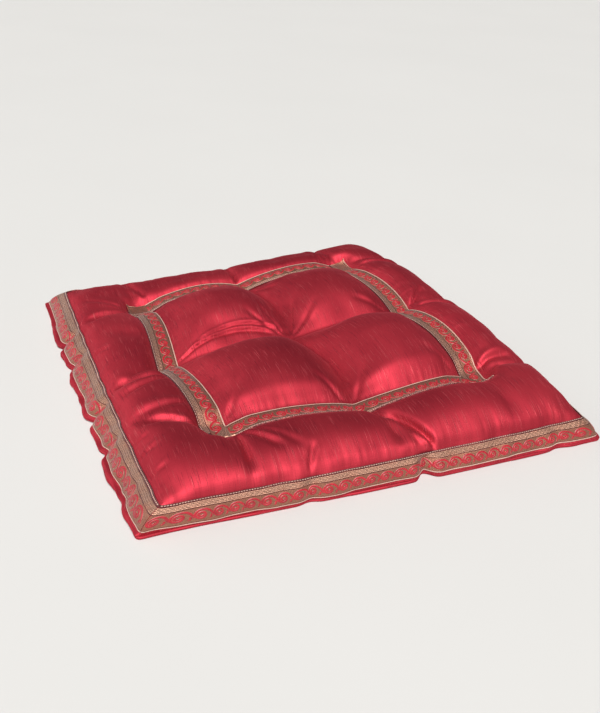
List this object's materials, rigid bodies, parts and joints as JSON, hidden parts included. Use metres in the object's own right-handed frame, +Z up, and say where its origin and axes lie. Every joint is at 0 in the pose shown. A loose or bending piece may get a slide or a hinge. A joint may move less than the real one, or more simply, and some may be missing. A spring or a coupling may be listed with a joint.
{
  "type": "chair pad",
  "caption": "Square box-edged chair pad of crimson shot silk, filled and tufted into puffs, with a frame of brocade ribbon on its top and brocade ribbon round its walls.",
  "frame": {"origin": "middle of the flat underside, at the level of the surface that the pad lies on", "axes": "+Z up through the pad's thickness, -Y towards its front edge, +X along the front edge to the right"},
  "size_m": [0.422, 0.423, 0.0508],
  "materials": {
    "silk": "crimson shot dupion silk with slubs running front to back and a soft sheen",
    "ribbon": "beige-gold woven brocade ribbon with a red running scroll and pale edge threads"
  },
  "bodies": {
    "root": {"pad_body": "silk", "frame_ribbon_front": "ribbon", "frame_ribbon_right": "ribbon", "frame_ribbon_back": "ribbon", "frame_ribbon_left": "ribbon", "wall_ribbon_front": "ribbon", "wall_ribbon_right": "ribbon", "wall_ribbon_back": "ribbon", "wall_ribbon_left": "ribbon"}
  },
  "joints": []
}
